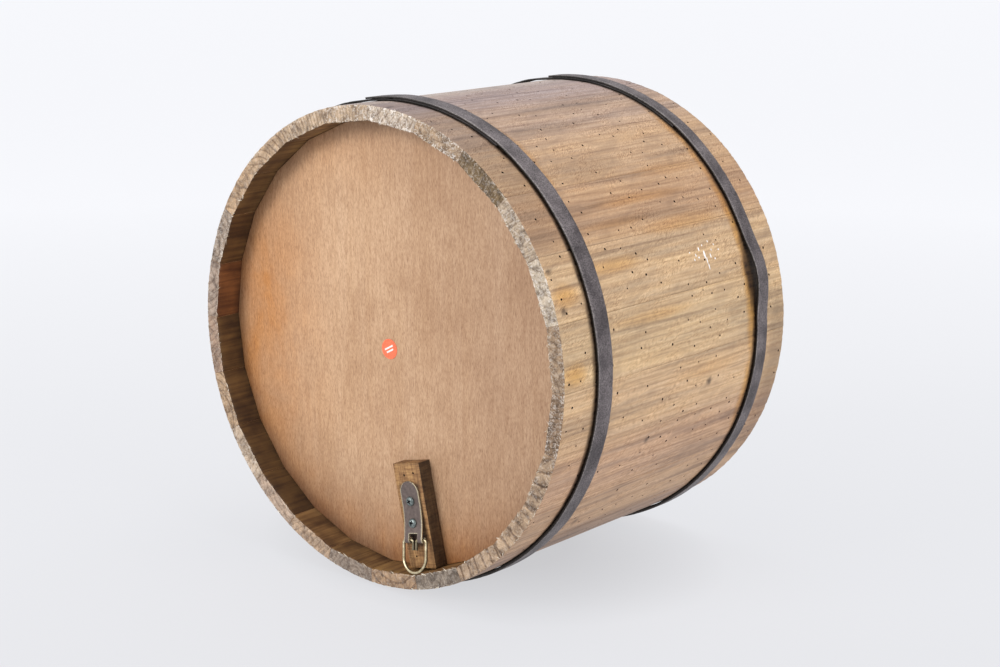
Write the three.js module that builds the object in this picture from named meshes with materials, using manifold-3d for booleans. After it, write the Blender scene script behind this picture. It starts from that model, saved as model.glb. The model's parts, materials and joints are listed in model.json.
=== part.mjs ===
// A small stave tub lying on its side: 24 tapered staves, two flat-bar hoops, a plywood end
// panel set back inside the rim, and a hanger with a swinging ring on that panel.
// Millimetres, +Z up. The tub's axis runs along +Y, from the hanger end to the open mouth.
import * as THREE from "three";
import { mergeVertices } from "three/addons/utils/BufferGeometryUtils.js";
import Module from "manifold-3d";

const wasm = await Module();
wasm.setup();

// ---- driving dimensions ----
const rimRadius = 165; // outside of the wood at the hanger end
const mouthRadius = 170; // outside of the wood at the open end
const depth = 254;
const staveCount = 24;
const staveThickness = 10.1; // at the joints between staves
const staveTurn = -0.7; // degrees from +X to the first joint
const jointGap = 0.3; // between one stave and the next
const clearance = 0.3; // between any two other pieces
const arcStep = 3.75; // degrees between points on round outlines

const recess = 20.8; // rim to the outer face of the panel
const panelThickness = 5.2;

const strapThickness = 1.4; // the hoops' flat bar
const hoopStandoff = 1.3; // loose hoop over the wood
const lapStandoff = 0.25; // where its ends are pulled down
const lapGap = 0.15;
const lapAngle = 40;
const rampAngle = 8;
const tackRadius = 0.7;
const tackLength = 8;
const backHoop = { y: 33.7, width: 14.6, skew: 4.3, end: 98.5, kinkRise: 0, tacks: [79, 63] };
const frontHoop = { y: 220.9, width: 12.8, skew: 0, end: 95.6, kinkRise: 3.6, tacks: [72.5, 65] };
const kinkAngle = 14; // where the front hoop is bent away from the wood
const kinkSpread = 11;

const blockWidth = 24.4;
const blockLength = 73.3;
const blockThickness = 11.3;
const blockTop = new THREE.Vector3(22.5, recess - blockThickness, -76.1); // middle of its top edge
const blockTurn = -12.25; // degrees about Y: its foot is turned towards +X
const brads = [[-3.4, 8.6], [5.8, 6.7], [-3.95, 64.4]]; // across and down the block
const bradRadius = 0.5;
const bradLength = 13.5;
const bradSink = 0.8;

const plateWidth = 16.6;
const plateThickness = 1.1;
const plateTop = 12.2; // distances down the block
const bendStart = 28;
const hingeDown = 52.6;
const hingeOut = 3.3; // hinge axis off the block's face
const knuckleInner = 1.25;
const plateSlope = 20; // degrees, where the plate meets the knuckle
const knuckleTurn = 240; // degrees that the plate's end is rolled through
const notchWidth = 7.8;
const notchTop = 48.5;

const screwSpots = [26.1, 41.25];
const headRadius = 3.3;
const headHeight = 1.9;
const screwRadius = 1.75;
const screwLength = 9.5;

const wireRadius = 0.95;
const ringHalfWidth = 10.45; // to the middle of the wire
const ringDrop = 22.2;
const ringCorner = 1.9;
const prongOffset = 1.5;
const prongLength = 7;
const ringLean = 14; // degrees out from the block, at rest

const stickerRadius = 7;
const stickerThickness = 0.2;
const sticker = new THREE.Vector2(-1.2, -2.1);

const rad = THREE.MathUtils.degToRad;
const slope = (mouthRadius - rimRadius) / depth;
const woodRadius = (y) => rimRadius + slope * y;

// ---- helpers ----
function paint(color, roughness, metalness) {
  return new THREE.MeshStandardMaterial({ color, roughness, metalness });
}

function toSolid(geometry) {
  const bare = geometry.clone();
  bare.deleteAttribute("normal");
  bare.deleteAttribute("uv");
  const welded = mergeVertices(bare, 1e-4);
  return new wasm.Manifold(new wasm.Mesh({
    numProp: 3,
    vertProperties: new Float32Array(welded.attributes.position.array),
    triVerts: new Uint32Array(welded.index.array),
  }));
}

function toGeometry(solid) {
  const mesh = solid.getMesh();
  const geometry = new THREE.BufferGeometry();
  geometry.setAttribute("position", new THREE.BufferAttribute(mesh.vertProperties, 3));
  geometry.setIndex(new THREE.BufferAttribute(mesh.triVerts, 1));
  geometry.computeVertexNormals();
  return geometry;
}

function cut(geometry, tools) {
  return toGeometry(tools.reduce((solid, tool) => solid.subtract(toSolid(tool)), toSolid(geometry)));
}

// A plate with the given outline in X and Z, from y = 0 to y = thickness.
function slab(outline, thickness, curveSegments = 8) {
  const options = { depth: thickness, bevelEnabled: false, curveSegments };
  return new THREE.ExtrudeGeometry(outline, options).rotateX(Math.PI / 2).translate(0, thickness, 0);
}

// A round bar from a point, along a direction.
function rod(radius, length, start, direction, sides = 16) {
  const turn = new THREE.Quaternion().setFromUnitVectors(new THREE.Vector3(0, 1, 0), direction);
  const bar = new THREE.CylinderGeometry(radius, radius, length, sides).translate(0, length / 2, 0);
  return bar.applyQuaternion(turn).translate(start.x, start.y, start.z);
}

// Widens a shape towards the mouth as the staves widen.
function taper(geometry) {
  const points = geometry.attributes.position;
  for (let i = 0; i < points.count; i += 1) {
    const k = woodRadius(points.getY(i)) / rimRadius;
    points.setX(i, points.getX(i) * k);
    points.setZ(i, points.getZ(i) * k);
  }
  return geometry;
}

function radial(angle) {
  return new THREE.Vector3(Math.cos(rad(angle)), 0, Math.sin(rad(angle)));
}

// ---- staves ----
const staveAngle = 360 / staveCount;
const innerRadius = rimRadius - staveThickness;
const wood = paint("#b0906a", 0.75, 0);

function staveOutline(from) {
  const outerTrim = jointGap / 2 / rimRadius;
  const innerTrim = jointGap / 2 / innerRadius;
  const start = rad(from);
  const stop = rad(from + staveAngle);
  const polar = (radius, angle) => [radius * Math.cos(angle), radius * Math.sin(angle)];
  const outline = new THREE.Shape();
  outline.moveTo(...polar(innerRadius, start + innerTrim));
  outline.lineTo(...polar(rimRadius, start + outerTrim));
  outline.absarc(0, 0, rimRadius, start + outerTrim, stop - outerTrim);
  outline.lineTo(...polar(innerRadius, stop - innerTrim));
  outline.closePath();
  return outline;
}

function stave(index) {
  const from = staveTurn + index * staveAngle;
  const blank = taper(slab(staveOutline(from), depth, staveAngle / arcStep / 2));
  const holes = allTacks.filter((tack) => tack.angle > from && tack.angle < from + staveAngle);
  return holes.length ? cut(blank, holes.map((tack) => tackShape(tack, clearance))) : blank;
}

// ---- hoops ----
const hoopSteel = paint("#57555a", 0.5, 0.8);

// Height of the strap's inner face over the wood, at an angle counted on from its inner end.
function standoff(angle, hoop) {
  const along = angle - (hoop.end - lapAngle);
  const outerLayer = lapStandoff + strapThickness + lapGap;
  const lift = THREE.MathUtils.smoothstep(along, lapAngle, lapAngle + rampAngle);
  const climb = THREE.MathUtils.smoothstep(along, 360 - rampAngle, 360);
  const rest = THREE.MathUtils.lerp(lapStandoff, hoopStandoff, lift);
  const fromKink = Math.min(1, Math.abs(angle - kinkAngle - 360) / kinkSpread);
  const kink = hoop.kinkRise * (1 + Math.cos(Math.PI * fromKink)) / 2;
  return THREE.MathUtils.lerp(rest, outerLayer, climb) + kink;
}

// The two ends, and every step between them but the one at the very bottom: the chord that
// is left there is the flat spot on which the tub stands.
function hoopAngles(hoop) {
  const first = hoop.end - lapAngle;
  const angles = [first];
  for (let angle = Math.ceil(first / arcStep) * arcStep; angle < hoop.end + 360; angle += arcStep) {
    if (angle > first && angle !== 270) angles.push(angle);
  }
  return [...angles, hoop.end + 360];
}

function hoopMiddle(angle, hoop) {
  return hoop.y + hoop.skew * Math.cos(rad(angle));
}

function hoopShape(hoop) {
  const points = [];
  const faces = [];
  const angles = hoopAngles(hoop);
  for (const angle of angles) {
    const low = hoopMiddle(angle, hoop) - hoop.width / 2;
    const high = low + hoop.width;
    const inner = standoff(angle, hoop);
    const outer = inner + strapThickness;
    for (const [y, rise] of [[low, inner], [low, outer], [high, outer], [high, inner]]) {
      points.push(...radial(angle).multiplyScalar(woodRadius(y) + rise).setY(y).toArray());
    }
  }
  for (let section = 0; section < angles.length - 1; section += 1) {
    for (let corner = 0; corner < 4; corner += 1) {
      const a = section * 4 + corner;
      const b = section * 4 + ((corner + 1) % 4);
      faces.push(a, b, b + 4, a, b + 4, a + 4);
    }
  }
  const last = (angles.length - 1) * 4;
  faces.push(0, 3, 2, 0, 2, 1, last, last + 1, last + 2, last, last + 2, last + 3);
  const geometry = new THREE.BufferGeometry();
  geometry.setAttribute("position", new THREE.Float32BufferAttribute(points, 3));
  geometry.setIndex(faces);
  const holes = hoop.tacks.map((angle) => tackShape({ angle, hoop }, clearance, clearance + 2));
  return cut(geometry, holes);
}

// ---- tacks: pins through a hoop's lapped ends into the staves ----
const allTacks = [backHoop, frontHoop].flatMap((hoop) => hoop.tacks.map((angle) => ({ angle, hoop })));

function tackShape({ angle, hoop }, grow = 0, proud = grow) {
  const y = hoopMiddle(angle, hoop);
  const top = woodRadius(y) + standoff(angle + 360, hoop) + strapThickness + proud;
  const start = radial(angle).multiplyScalar(top).setY(y);
  const length = tackLength + grow + proud;
  return rod(tackRadius + grow, length, start, radial(angle).negate(), 12);
}

// ---- end panel ----
function panelShape() {
  const outline = new THREE.Shape();
  for (let i = 0; i < staveCount; i += 1) {
    const angle = rad(staveTurn + i * staveAngle);
    const radius = innerRadius - clearance / Math.cos(rad(staveAngle / 2));
    const spot = [radius * Math.cos(angle), radius * Math.sin(angle)];
    if (i === 0) outline.moveTo(...spot);
    else outline.lineTo(...spot);
  }
  outline.closePath();
  const blank = taper(slab(outline, panelThickness).translate(0, recess, 0));
  const holes = brads.map(([across, down]) => bradShape(across, down, clearance));
  for (const hole of holes) hole.rotateY(rad(blockTurn)).translate(...blockTop.toArray());
  return cut(blank, holes);
}

// ---- hanger block; from here on X runs across it, Z up it and -Y out of its face ----
function blockShape() {
  const thickness = blockThickness - clearance;
  const blank = new THREE.BoxGeometry(blockWidth, thickness, blockLength);
  blank.translate(0, thickness / 2, -blockLength / 2);
  const bradHoles = brads.map(([across, down]) => bradShape(across, down, clearance, 2));
  const pilots = screwSpots.map((down) => screwShank(down, clearance));
  return cut(blank, [...bradHoles, ...pilots]);
}

function bradShape(across, down, grow = 0, proud = 0) {
  const start = new THREE.Vector3(across, bradSink - proud, -down);
  return rod(bradRadius + grow, bradLength + proud + grow, start, new THREE.Vector3(0, 1, 0), 10);
}

// ---- hanger plate: flat strip whose end rises and is rolled under, round the ring's wire ----
const plateRest = plateThickness / 2 + clearance / 2; // middle of the plate over the block
const knuckleMiddle = knuckleInner + plateThickness / 2;
const rollStart = new THREE.Vector2(
  hingeDown - knuckleMiddle * Math.sin(rad(plateSlope)),
  hingeOut + knuckleMiddle * Math.cos(rad(plateSlope)),
);
const bendTurn = new THREE.Vector2(
  rollStart.x - (rollStart.y - plateRest) / Math.tan(rad(plateSlope)),
  plateRest,
);
const bend = new THREE.QuadraticBezierCurve(new THREE.Vector2(bendStart, plateRest), bendTurn, rollStart);

// Middle of the plate at a distance down the block: its height and its outward normal.
function plateSpot(down) {
  const spots = bend.getPoints(60);
  const next = spots.findIndex((spot) => spot.x >= down);
  if (next <= 0) return { height: plateRest, normal: new THREE.Vector3(0, -1, 0) };
  const run = spots[next].clone().sub(spots[next - 1]).normalize();
  return { height: spots[next].y, normal: new THREE.Vector3(0, -run.x, run.y) };
}

function plateShape() {
  const middle = [new THREE.Vector2(plateTop - 1, plateRest), ...bend.getPoints(10)];
  for (let turn = 12; turn <= knuckleTurn; turn += 12) {
    const angle = rad(turn - plateSlope);
    const spoke = new THREE.Vector2(Math.sin(angle), Math.cos(angle)).multiplyScalar(knuckleMiddle);
    middle.push(spoke.add(new THREE.Vector2(hingeDown, hingeOut)));
  }
  const side = (sign) => middle.map((spot, i) => {
    const before = middle[Math.max(0, i - 1)];
    const after = middle[Math.min(middle.length - 1, i + 1)];
    const run = after.clone().sub(before).normalize().multiplyScalar(sign * plateThickness / 2);
    return new THREE.Vector2(spot.x - run.y, spot.y + run.x);
  });
  const profile = new THREE.Shape([...side(1), ...side(-1).reverse()]);
  const strip = new THREE.ExtrudeGeometry(profile, { depth: plateWidth, bevelEnabled: false });
  strip.translate(0, 0, -plateWidth / 2);
  const down = new THREE.Vector3(0, 0, -1);
  const out = new THREE.Vector3(0, -1, 0);
  strip.applyMatrix4(new THREE.Matrix4().makeBasis(down, out, new THREE.Vector3(-1, 0, 0)));
  const kept = slab(plateOutline(), 30, 10).translate(0, -25, 0);
  const trimmed = toSolid(strip).intersect(toSolid(kept));
  const holes = screwSpots.map((spot) => toSolid(screwShank(spot, clearance, 3)));
  return toGeometry(holes.reduce((solid, hole) => solid.subtract(hole), trimmed));
}

function plateOutline() {
  const half = plateWidth / 2;
  const foot = -(hingeDown + 5);
  const outline = new THREE.Shape();
  outline.moveTo(half, foot);
  outline.lineTo(half, -(plateTop + half));
  outline.absarc(0, -(plateTop + half), half, 0, Math.PI);
  outline.lineTo(-half, foot);
  outline.lineTo(-notchWidth / 2, foot);
  outline.lineTo(-notchWidth / 2, -notchTop);
  outline.lineTo(notchWidth / 2, -notchTop);
  outline.lineTo(notchWidth / 2, foot);
  outline.closePath();
  return outline;
}

// ---- screws, square to the plate ----
function screwSeat(down) {
  const { height, normal } = plateSpot(down);
  const seat = normal.clone().multiplyScalar(plateThickness / 2 + clearance / 2);
  return { seat: seat.add(new THREE.Vector3(0, -height, -down)), normal };
}

function screwShank(down, grow = 0, proud = grow) {
  const { seat, normal } = screwSeat(down);
  const start = seat.addScaledVector(normal, proud);
  return rod(screwRadius + grow, screwLength + grow + proud, start, normal.clone().negate());
}

function screwShape(down) {
  const { seat, normal } = screwSeat(down);
  const profile = new THREE.Path();
  profile.moveTo(0, -screwLength);
  profile.lineTo(screwRadius, -screwLength + 2);
  profile.lineTo(screwRadius, 0);
  profile.lineTo(headRadius, 0);
  profile.lineTo(headRadius, 0.5);
  profile.quadraticCurveTo(headRadius * 0.8, headHeight, 0, headHeight);
  const turn = new THREE.Quaternion().setFromUnitVectors(new THREE.Vector3(0, 1, 0), normal);
  return new THREE.LatheGeometry(profile.getPoints(5), 24).applyQuaternion(turn).translate(...seat);
}

// ---- ring: one length of wire whose two ends turn down as prongs in the plate's notch ----
class WirePath extends THREE.Curve {
  constructor(path) {
    super();
    this.path = path;
  }

  getPoint(t) {
    const spot = this.path.getPoint(t);
    return new THREE.Vector3(spot.x, 0, spot.y);
  }
}

function ringShape() {
  const straightEnd = -(ringDrop - ringHalfWidth);
  const bendCentre = ringHalfWidth - ringCorner;
  const path = new THREE.Path();
  path.moveTo(-prongOffset, -prongLength);
  path.lineTo(-prongOffset, -ringCorner);
  path.absarc(-prongOffset - ringCorner, -ringCorner, ringCorner, 0, Math.PI / 2);
  path.lineTo(-bendCentre, 0);
  path.absarc(-bendCentre, -ringCorner, ringCorner, Math.PI / 2, Math.PI);
  path.lineTo(-ringHalfWidth, straightEnd);
  path.absarc(0, straightEnd, ringHalfWidth, Math.PI, 2 * Math.PI);
  path.lineTo(ringHalfWidth, -ringCorner);
  path.absarc(bendCentre, -ringCorner, ringCorner, 0, Math.PI / 2);
  path.lineTo(prongOffset + ringCorner, 0);
  path.absarc(prongOffset + ringCorner, -ringCorner, ringCorner, Math.PI / 2, Math.PI);
  path.lineTo(prongOffset, -prongLength);
  const wire = new THREE.Shape().absarc(0, 0, wireRadius, 0, 2 * Math.PI);
  const options = { extrudePath: new WirePath(path), steps: 130, curveSegments: 5 };
  return new THREE.ExtrudeGeometry(wire, options);
}

// ---- assembly ----
const tub = new THREE.Group();
const hanger = new THREE.Group();
hanger.position.copy(blockTop);
hanger.rotation.y = rad(blockTurn);
tub.add(hanger);

function add(group, name, geometry, material) {
  const mesh = new THREE.Mesh(geometry, material);
  mesh.name = name;
  group.add(mesh);
  return mesh;
}

for (let i = 0; i < staveCount; i += 1) {
  add(tub, `stave_${String(i + 1).padStart(2, "0")}`, stave(i), wood.clone());
}
add(tub, "back_hoop", hoopShape(backHoop), hoopSteel.clone());
add(tub, "front_hoop", hoopShape(frontHoop), hoopSteel.clone());
for (const [i, tack] of allTacks.entries()) {
  add(tub, `hoop_tack_${i + 1}`, tackShape(tack), paint("#3a3634", 0.6, 0.8));
}
add(tub, "end_panel", panelShape(), paint("#c99f78", 0.7, 0));
const disc = new THREE.CylinderGeometry(stickerRadius, stickerRadius, stickerThickness, 32);
const label = add(tub, "label", disc, paint("#ff7a4d", 0.6, 0));
label.position.set(sticker.x, recess - clearance / 3 - stickerThickness / 2, sticker.y);

add(hanger, "hanger_block", blockShape(), paint("#9a6d42", 0.7, 0));
for (const [i, [across, down]] of brads.entries()) {
  add(hanger, `block_brad_${i + 1}`, bradShape(across, down), paint("#3a3634", 0.6, 0.8));
}
add(hanger, "hanger_plate", plateShape(), paint("#7b6d66", 0.45, 0.9));
for (const [i, down] of screwSpots.entries()) {
  add(hanger, `hanger_screw_${i + 1}`, screwShape(down), paint("#a9b4b8", 0.35, 1));
}
const ring = add(hanger, "d_ring", ringShape(), paint("#b9a67c", 0.35, 1));
ring.position.set(0, -hingeOut, -hingeDown);
ring.rotation.x = -rad(ringLean);

// The hoops' flat spots lie on one line that rises with the taper, so the tub tips by that much.
tub.rotation.x = Math.atan(Math.cos(rad(arcStep)) * slope);
const box = new THREE.Box3().setFromObject(tub, true);
const middle = box.getCenter(new THREE.Vector3());
tub.position.set(-middle.x, -middle.y, -box.min.z);

export default tub;
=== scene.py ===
import json
import math
import random

import bmesh
import bpy
from mathutils import Matrix, Vector, kdtree, noise


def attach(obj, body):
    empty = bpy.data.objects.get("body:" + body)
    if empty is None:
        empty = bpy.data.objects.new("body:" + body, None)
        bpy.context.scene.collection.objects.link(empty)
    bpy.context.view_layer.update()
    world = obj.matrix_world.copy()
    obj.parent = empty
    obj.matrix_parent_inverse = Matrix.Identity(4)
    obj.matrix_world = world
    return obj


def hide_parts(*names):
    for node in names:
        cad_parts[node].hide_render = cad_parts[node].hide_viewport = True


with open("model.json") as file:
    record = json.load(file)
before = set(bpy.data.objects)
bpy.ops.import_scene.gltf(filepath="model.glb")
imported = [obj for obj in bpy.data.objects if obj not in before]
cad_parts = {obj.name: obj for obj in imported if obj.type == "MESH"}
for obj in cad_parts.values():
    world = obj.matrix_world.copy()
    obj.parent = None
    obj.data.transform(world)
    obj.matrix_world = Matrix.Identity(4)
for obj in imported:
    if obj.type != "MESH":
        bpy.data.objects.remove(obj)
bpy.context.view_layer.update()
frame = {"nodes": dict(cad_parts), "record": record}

# ---- Studio --------------------------------------------------------------------------------
# White paper sheet lit from below in an even white room, a wide soft box high on the left and
# weaker ones above and on the right; a 59 mm lens at the height of the rim's top. The tub lies
# on its hoops: its pieces are made upright to its axis and then tipped by the hoops' taper.
mounts = {mount["name"]: mount for mount in frame["record"]["mounts"]}
axis_rise = math.asin(mounts["mouth_rim"]["axis"][2])
rim_centre = Vector((0, -0.127025, 0.167309))
on_tub = Matrix.Translation(rim_centre) @ Matrix.Rotation(axis_rise, 4, "X")


def shown(name, bm, *materials, place=on_tub):
    """Turns a finished bmesh into an object, with creases where its faces meet sharply."""
    bm.transform(place)
    mesh = bpy.data.meshes.new(name)
    bm.to_mesh(mesh)
    bm.free()
    for material in materials:
        mesh.materials.append(material)
    for face in mesh.polygons:
        face.use_smooth = True
    mesh.set_sharp_from_angle(angle=math.radians(38))
    piece = bpy.data.objects.new(name, mesh)
    bpy.context.scene.collection.objects.link(piece)
    return piece


def linear(colour):
    """The linear colour of an sRGB hex value."""
    parts = [int(colour[i:i + 2], 16) / 255 for i in (1, 3, 5)]
    return (*[p / 12.92 if p <= 0.04045 else ((p + 0.055) / 1.055) ** 2.4 for p in parts], 1)


def add_node(tree, kind, inputs=None, stops=None, **settings):
    """Adds a node with its settings, its input values or links, and its ramp's stops."""
    node = tree.nodes.new("ShaderNode" + kind)
    for name, value in settings.items():
        setattr(node, name, value)
    for socket, value in (inputs or {}).items():
        if isinstance(value, bpy.types.NodeSocket):
            tree.links.new(value, node.inputs[socket])
        else:
            node.inputs[socket].default_value = value
    for i, (at, colour) in enumerate(stops or []):
        ramp = node.color_ramp.elements
        stop = ramp[i] if i < 2 else ramp.new(at)
        stop.position = at
        stop.color = linear(colour)
    return node


def new_material(name):
    """An empty material: itself, its node tree and its surface shader."""
    material = bpy.data.materials.new(name)
    material.use_nodes = True
    return material, material.node_tree, material.node_tree.nodes["Principled BSDF"]


# Seamless paper over a light table. Its glow is set brighter towards the back, a painted falloff of light,
# and dimmer close under the tub, a painted shadow.
paper, tree, shader = new_material("backlit_white_paper")
shader.inputs["Base Color"].default_value = linear("#4c4c4e")
shader.inputs["Roughness"].default_value = 0.9
shader.inputs["Emission Color"].default_value = linear("#f6f7fb")
place = add_node(tree, "TexCoord").outputs["Object"]
distance = add_node(tree, "VectorMath", {0: place, 1: (0.75, -0.76, 0)}, operation="DISTANCE")
glow = add_node(tree, "MapRange", {"Value": distance.outputs["Value"], "From Min": 0.85, "From Max": 3.0,
                                   "To Min": 0.735, "To Max": 0.90})
flatter = add_node(tree, "VectorMath", {0: place, 1: (0.8, 1, 1)}, operation="MULTIPLY")
away = add_node(tree, "VectorMath", {0: flatter.outputs[0]}, operation="LENGTH")
# Painted shadow: the paper's glow is dimmed close under the tub.
under = add_node(tree, "MapRange", {"Value": away.outputs["Value"], "From Min": 0.05, "From Max": 0.15,
                                    "To Min": 0.8, "To Max": 1.0})
glow = add_node(tree, "Math", {0: glow.outputs[0], 1: under.outputs[0]}, operation="MULTIPLY")
tree.links.new(glow.outputs[0], shader.inputs["Emission Strength"])
bm = bmesh.new()
bmesh.ops.create_circle(bm, cap_ends=True, segments=64, radius=300)
floor = shown("floor", bm, paper, place=Matrix())

room = bpy.data.worlds.new("white_room")
bpy.context.scene.world = room
room.use_nodes = True
room.node_tree.nodes["Background"].inputs["Color"].default_value = linear("#f6f7fa")
seen = add_node(room.node_tree, "LightPath").outputs["Is Camera Ray"]
strength = add_node(room.node_tree, "MapRange", {"Value": seen, "To Min": 0.68, "To Max": 1.0})
room.node_tree.links.new(strength.outputs[0], room.node_tree.nodes["Background"].inputs["Strength"])

for name, place, size, power in (
    ("soft_box_left", (-0.75, -2.6, 1.35), 1.2, 44),
    ("soft_box_top", (0.3, 0.3, 2.4), 1.6, 23),
    ("soft_box_right", (2.4, -0.2, 1.3), 1.4, 25),
):
    light = bpy.data.lights.new(name, "AREA")
    light.size = size
    light.energy = power
    lamp = bpy.data.objects.new(name, light)
    lamp.location = place
    lamp.rotation_euler = (Vector((0, 0, 0.17)) - Vector(place)).to_track_quat("-Z", "Y").to_euler()
    bpy.context.scene.collection.objects.link(lamp)

camera_from = Vector((0.7470, -0.7641, 0.2571))
camera_turn = math.radians(39.65)
camera_drop = math.radians(12.93)
lens = bpy.data.cameras.new("camera")
lens.lens = 58.7
camera = bpy.data.objects.new("camera", lens)
aim = Matrix.Rotation(camera_turn, 4, "Z") @ Matrix.Rotation(math.pi / 2 - camera_drop, 4, "X")
camera.matrix_world = on_tub @ Matrix.Translation(camera_from) @ aim
bpy.context.scene.collection.objects.link(camera)
bpy.context.scene.camera = camera
bpy.context.scene.view_settings.view_transform = "Standard"

# ---- Staves --------------------------------------------------------------------------------
# Twenty-four tapered softwood staves, glued edge to edge: rounded outside, flat inside, ends
# sawn across. The outside is oiled and bored with hundreds of small holes to look old, and
# the inside is stained walnut.
staves = 24
rim_radius = 0.165
mouth_radius = 0.170
tub_depth = 0.254
wall = 0.0101
joint_gap = 0.00005
first_joint = math.radians(-0.7)
stave_angle = 2 * math.pi / staves
hole_radius = 0.0008
hole_depth = 0.0025
holes_per_stave = 28
hole_spacing = 0.0105
boards = [  # face tone, end tone, millimetres between growth rings, and to the pith, across and up
    ("#cdb99a", "#a08a72", 4.4, -30, -25), ("#cab496", "#c6baa8", 7.0, 45, 30),
    ("#b3987e", "#b8a894", 3.2, 60, 10), ("#b79f85", "#7d6a4e", 3.6, -50, 8),
    # The grey-mauve face tones of the sixth to the eighth staves, on top, are partly a painted sheen from
    # the light above.
    ("#ac998c", "#a8927a", 4.0, 3, 22), ("#a1969a", "#c6b7a6", 5.0, 25, 24),
    ("#b6b2b6", "#c0ab93", 2.9, -90, 3), ("#aba3a0", "#c4ae94", 3.1, 100, -4),
    ("#b9a48c", "#bfa68a", 5.0, 22, -12), ("#b59a7c", "#bfa486", 9.0, -35, 30),
    ("#bda284", "#a39486", 6.0, 15, 18), ("#b3987a", "#a8978a", 5.0, -20, 30),
    ("#b99e80", "#a8907e", 4.2, 38, -25), ("#b09478", "#bba184", 6.0, 8, 30),
    ("#b89c7c", "#c0ae9a", 5.0, -50, 20), ("#b2977a", "#bba694", 3.8, 10, -30),
    ("#b89c7e", "#bca48c", 4.4, -60, -30), ("#b3987c", "#96887c", 6.5, 5, 14),
    ("#b69a7c", "#b09478", 6.5, 2, -16), ("#ae9480", "#8f8478", 7.5, 12, 12),
    ("#a58f80", "#b39c84", 7.5, 90, 20), ("#c1a78e", "#bca48a", 9.5, -45, 6),
    ("#c6aa93", "#b09a82", 8.5, 35, -10), ("#d2ba9c", "#8c7660", 3.8, -40, 20),
]
# By stave, where it isn't the usual strength or tone: torn ends, clear rings, and inner faces.
torn_ends = {0: 0.4, 1: 0.8, 2: 0.6, 3: 0.35, 4: 0.8, 5: 1.1, 6: 0.8, 7: 0.4, 10: 0.5, 14: 0.4,
             22: 0.35, 23: 0.6}
clear_rings = {1: 0.45, 5: 0.5, 7: 0.6, 8: 0.5, 10: 0.5, 13: 0.5, 18: 0.6, 20: 0.7, 21: 0.6, 22: 0.7}
lining_tones = {7: "#9a784c", 8: "#8a6a3e", 9: "#7c5e36", 10: "#75542c", 11: "#84522a",
                16: "#8a683f", 17: "#8a6a3f", 18: "#9a7846", 19: "#9c7849", 20: "#8c6a42"}
usual_tear = 0.25
usual_rings = 0.35
usual_lining = "#6c4f2a"
blend_from = 0.2  # share of a stave's width from which its tone turns into its neighbour's
blend_rate = 1.4
chip_depth = 0.0011  # of the chips along both edges of a sawn end, and how far in they reach
chip_reach = 0.0025
ragged_depth = 0.0003  # of the torn fibres on the end itself, and how far in they reach
ragged_reach = 0.001
saw_ripple = 0.00014
board_wave = 0.00016

# Stains on the outside, and painted shade among the dark ones: angle in degrees, distance from the rim,
# their spreads, and strength.
amber_stains = [(8, 0.2115, 16, 0.007, 0.85), (28, 0.2115, 18, 0.006, 0.75), (50, 0.2115, 16, 0.005, 0.6),
                (-14, 0.2115, 12, 0.005, 0.6), (55, 0.047, 14, 0.006, 0.45), (3, 0.010, 3, 0.014, 0.6),
                (20, 0.012, 3, 0.014, 0.6), (24, 0.066, 2, 0.036, 0.5), (11, 0.098, 1.5, 0.05, 0.35),
                (38, 0.120, 1.5, 0.06, 0.45), (33, 0.085, 1.2, 0.04, 0.4), (-5, 0.160, 2, 0.04, 0.25),
                (30, 0.155, 2.2, 0.05, 0.4), (44, 0.170, 1.8, 0.045, 0.35)]
# The first dark spot is painted shadow under the kink of the front hoop, and the last darkens the wood
# beyond the front hoop.
grime_and_shade_spots = [(14, 0.2125, 10, 0.0045, 1.0), (48, 0.084, 4, 0.05, 0.22), (33, 0.136, 1.6, 0.05, 0.2),
                (-27, 0.166, 4, 0.05, 0.16), (-8.5, 0.161, 1.2, 0.0036, 0.8), (-19, 0.099, 1.0, 0.003, 0.7),
                (-41, 0.0635, 1.6, 0.0034, 0.5), (70, 0.140, 2.5, 0.07, 0.2), (62, 0.080, 2, 0.06, 0.25),
                (17, 0.008, 1.2, 0.003, 0.8), (25.7, 0.004, 0.5, 0.004, 1.0), (84, 0.004, 0.5, 0.005, 1.0),
                (60, 0.008, 36, 0.036, 0.33), (-16, 0.246, 24, 0.018, 0.42)]
stain_wander = 0.0022  # how far a stain's outline strays
hoops = {  # distance from the rim, bar width, skew, angle of the outer end, height of the kink
    "back_hoop": {"y": 0.0337, "width": 0.0146, "skew": 0.0043, "end": 98.5, "kink": 0.0},
    "front_hoop": {"y": 0.2209, "width": 0.0128, "skew": 0.0, "end": 95.6, "kink": 0.0036},
}
# The wood beside each hoop is darkened as painted shade mixed with dirt; this is how far it fades out.
shade_beside = 0.0022  # how far the dirt fades out beside a hoop


def in_the_board(tree):
    """The spot in the sawn board, before it was bent and tapered into a stave."""
    board = add_node(tree, "Attribute", attribute_name="board").outputs["Vector"]
    cut = add_node(tree, "Attribute", attribute_name="cut").outputs["Vector"]
    return add_node(tree, "VectorMath", {0: board, 1: cut}, operation="ADD").outputs[0]


def figure(tree, at, size, turn=(0, 0, 0), detail=3, roughness=0.6, warp=0.0):
    """A pattern of grains of a given size along X, Y and Z, all turned by the same angles."""
    turned = add_node(tree, "Mapping", {"Vector": at, "Rotation": turn}).outputs[0]
    scale = [1 / length for length in size]
    sized = add_node(tree, "Mapping", {"Vector": turned, "Scale": scale}).outputs[0]
    return add_node(tree, "TexNoise", {"Vector": sized, "Scale": 1, "Detail": detail, "Roughness": roughness,
                                       "Distortion": warp}).outputs["Fac"]


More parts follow.
